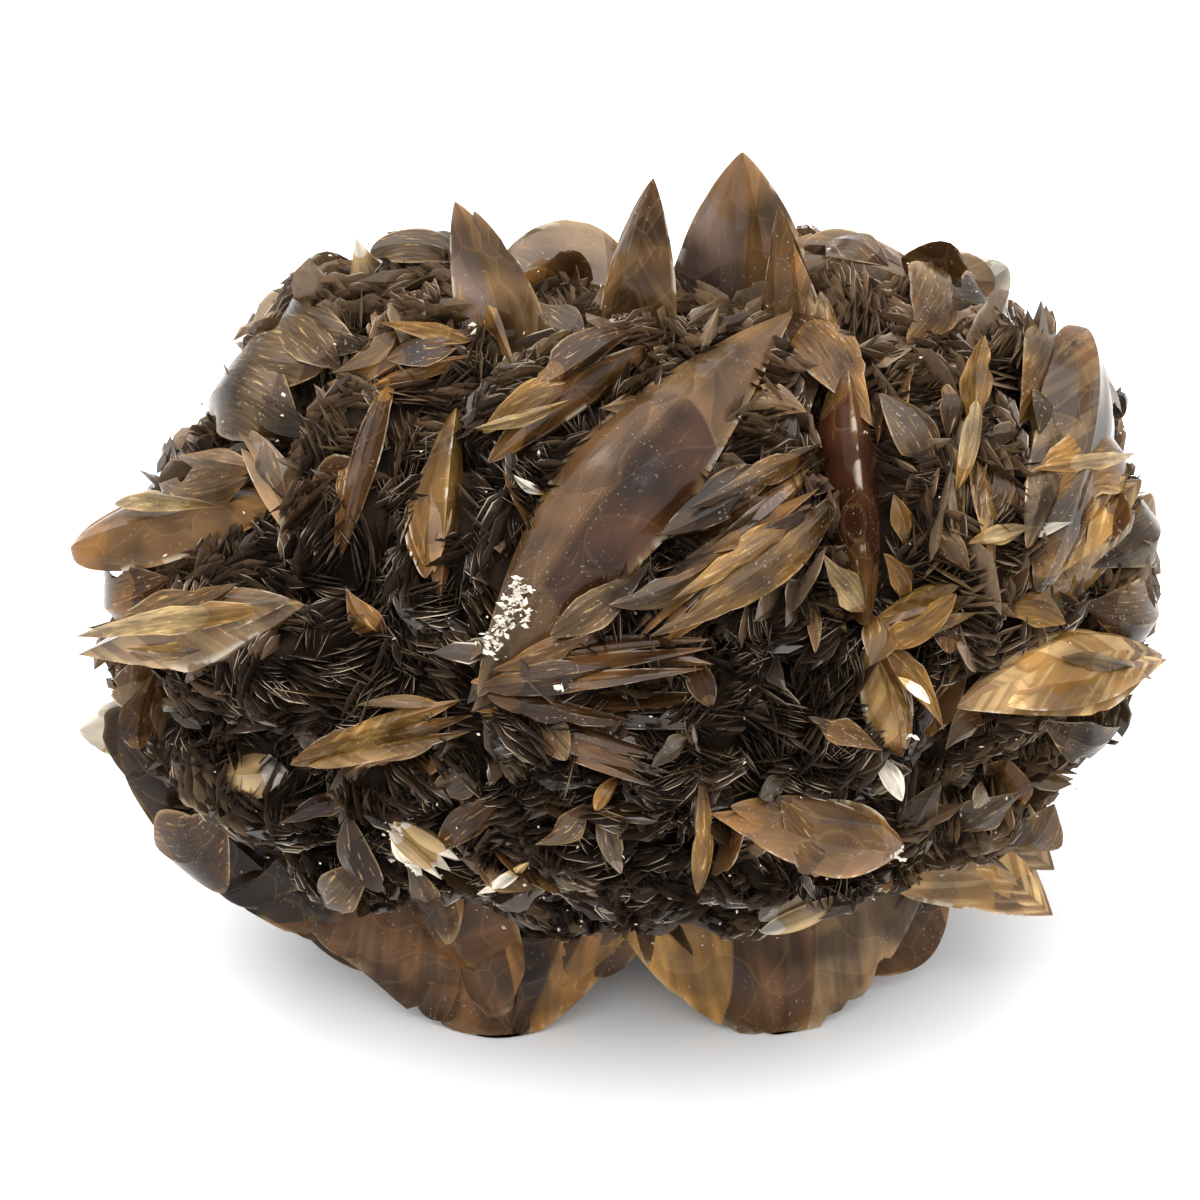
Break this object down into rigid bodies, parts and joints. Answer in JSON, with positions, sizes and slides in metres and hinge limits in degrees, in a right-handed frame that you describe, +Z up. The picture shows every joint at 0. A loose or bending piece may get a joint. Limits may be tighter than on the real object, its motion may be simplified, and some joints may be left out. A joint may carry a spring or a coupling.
{
  "type": "selenite cluster",
  "caption": "Rounded cluster of brown selenite: lens-shaped crystals grown together, long pointed blades standing out all over, resting on plate-like crystals underneath.",
  "frame": {"origin": "centre of the bounding box's base, on the surface that the cluster rests on", "axes": "+Z up, +X along the longest side towards the right as the front is seen, -Y towards the viewer of the front"},
  "size_m": [0.1301, 0.0875, 0.1024],
  "materials": {
    "brown_selenite": "vitreous, see-through in the large blades"
  },
  "bodies": {
    "root": {"selenite_cluster": "brown_selenite"}
  },
  "joints": []
}
